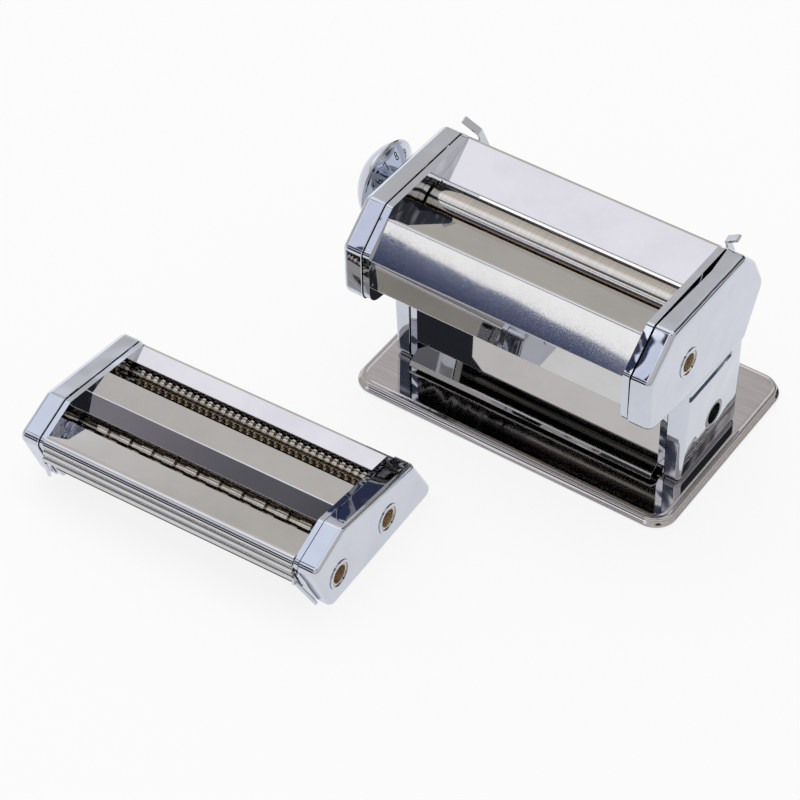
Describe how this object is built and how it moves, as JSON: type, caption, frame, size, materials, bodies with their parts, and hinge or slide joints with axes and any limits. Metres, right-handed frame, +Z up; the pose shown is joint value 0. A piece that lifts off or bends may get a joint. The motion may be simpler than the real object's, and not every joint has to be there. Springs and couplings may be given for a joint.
{
  "type": "hand cranked pasta machine",
  "caption": "Hand cranked roller pasta machine on a rectangular base, with a thickness knob and a separate cutter head with wide and narrow cutting rollers.",
  "frame": {"origin": "on the table, under the middle of the rectangle that the machine and its cutter head take up together", "axes": "+X along the smooth rollers towards the crank side, +Y towards the back of the machine, +Z up"},
  "size_m": [0.3029, 0.2833, 0.136],
  "materials": {
    "chromed_steel": "mirror bright chromed steel sheet",
    "satin_steel": "ground and nickel plated, satin",
    "zinc_steel": "zinc plated, dull",
    "gear_steel": "hardened steel, dull",
    "spring_steel": "dark spring wire",
    "brass": "bearing bronze and brass, turned",
    "chromed_knob": "chromed, smooth",
    "rubber": "soft matt rubber"
  },
  "bodies": {
    "stand": {"base_plate": "chromed_steel", "rubber_feet": "rubber", "base_screws": "zinc_steel", "bottom_tray": "chromed_steel", "left_side_frame": "chromed_steel", "right_side_frame": "chromed_steel", "left_end_cover": "chromed_steel", "right_end_cover": "chromed_steel", "front_cover": "chromed_steel", "front_apron": "chromed_steel", "rear_cover": "chromed_steel", "left_guide_rail": "chromed_steel", "right_guide_rail": "chromed_steel", "tie_rods": "zinc_steel", "front_scraper": "satin_steel", "clamp_socket": "zinc_steel", "crank_bush": "brass", "front_roller_bushes": "brass", "knob_collar": "chromed_steel"},
    "front_roller_unit": {"front_roller": "satin_steel", "front_gear": "gear_steel"},
    "rear_carriage": {"bearing_blocks": "brass", "rear_scraper": "satin_steel"},
    "rear_roller_unit": {"rear_roller": "satin_steel", "rear_gear": "gear_steel"},
    "regulator": {"regulator_shaft": "zinc_steel", "knob_spring": "spring_steel"},
    "knob": {"knob_dial": "chromed_knob", "knob_dome": "chromed_knob"},
    "cutter_head": {"cutter_left_frame": "chromed_steel", "cutter_right_frame": "chromed_steel", "cutter_left_cover": "chromed_steel", "cutter_right_cover": "chromed_steel", "cutter_rear_sheet": "chromed_steel", "cutter_middle_sheet": "chromed_steel", "cutter_front_sheet": "chromed_steel", "cutter_hooks": "chromed_steel", "cutter_tie_rods": "zinc_steel", "cutter_bushes": "brass", "cutter_combs": "satin_steel"},
    "wide_front_unit": {"wide_cutter_front": "satin_steel", "wide_gear_front": "gear_steel"},
    "wide_rear_unit": {"wide_cutter_rear": "satin_steel", "wide_gear_rear": "gear_steel"},
    "narrow_front_unit": {"narrow_cutter_front": "satin_steel", "narrow_gear_front": "gear_steel"},
    "narrow_rear_unit": {"narrow_cutter_rear": "satin_steel", "narrow_gear_rear": "gear_steel"}
  },
  "joints": [
    {"name": "crank_spin", "type": "hinge", "parent": "stand", "child": "front_roller_unit", "pos_m": [0.052, 0.0395, 0.1016], "axis": [1, 0, 0], "continuous": true},
    {"name": "roller_gap", "type": "slide", "parent": "stand", "child": "rear_carriage", "axis": [0, 0.9511, 0.309], "range_m": [-0.0004, 0.002]},
    {"name": "rear_roller_spin", "type": "hinge", "parent": "rear_carriage", "child": "rear_roller_unit", "pos_m": [0.052, 0.06175, 0.10883], "axis": [1, 0, 0], "continuous": true},
    {"name": "knob_turn", "type": "hinge", "parent": "stand", "child": "regulator", "pos_m": [-0.048, 0.06175, 0.10883], "axis": [-1, 0, 0], "range_deg": [-40, 200]},
    {"name": "knob_pull", "type": "slide", "parent": "regulator", "child": "knob", "axis": [-1, 0, 0], "range_m": [0, 0.0035], "stiffness_N_per_m": 800, "springref_m": -0.003, "deforming": ["knob_spring"]},
    {"name": "cutter_head_lift", "type": "slide", "parent": "stand", "child": "cutter_head", "axis": [0, 0, 1], "range_m": [0, 0.08]},
    {"name": "wide_front_spin", "type": "hinge", "parent": "cutter_head", "child": "wide_front_unit", "pos_m": [-0.05552, -0.11748, 0.0189], "axis": [0.9994, 0.0349, 0], "continuous": true},
    {"name": "wide_rear_spin", "type": "hinge", "parent": "cutter_head", "child": "wide_rear_unit", "pos_m": [-0.05614, -0.09989, 0.0189], "axis": [0.9994, 0.0349, 0], "continuous": true},
    {"name": "narrow_front_spin", "type": "hinge", "parent": "cutter_head", "child": "narrow_front_unit", "pos_m": [-0.05709, -0.0725, 0.0189], "axis": [0.9994, 0.0349, 0], "continuous": true},
    {"name": "narrow_rear_spin", "type": "hinge", "parent": "cutter_head", "child": "narrow_rear_unit", "pos_m": [-0.05771, -0.05491, 0.0189], "axis": [0.9994, 0.0349, 0], "continuous": true}
  ],
  "couplings": [
    {"joint": "knob_turn", "follows": "roller_gap", "rad_per_m": 1745},
    {"joint": "rear_roller_spin", "follows": "crank_spin", "ratio": -1},
    {"joint": "wide_rear_spin", "follows": "wide_front_spin", "ratio": -1},
    {"joint": "narrow_rear_spin", "follows": "narrow_front_spin", "ratio": -1}
  ]
}
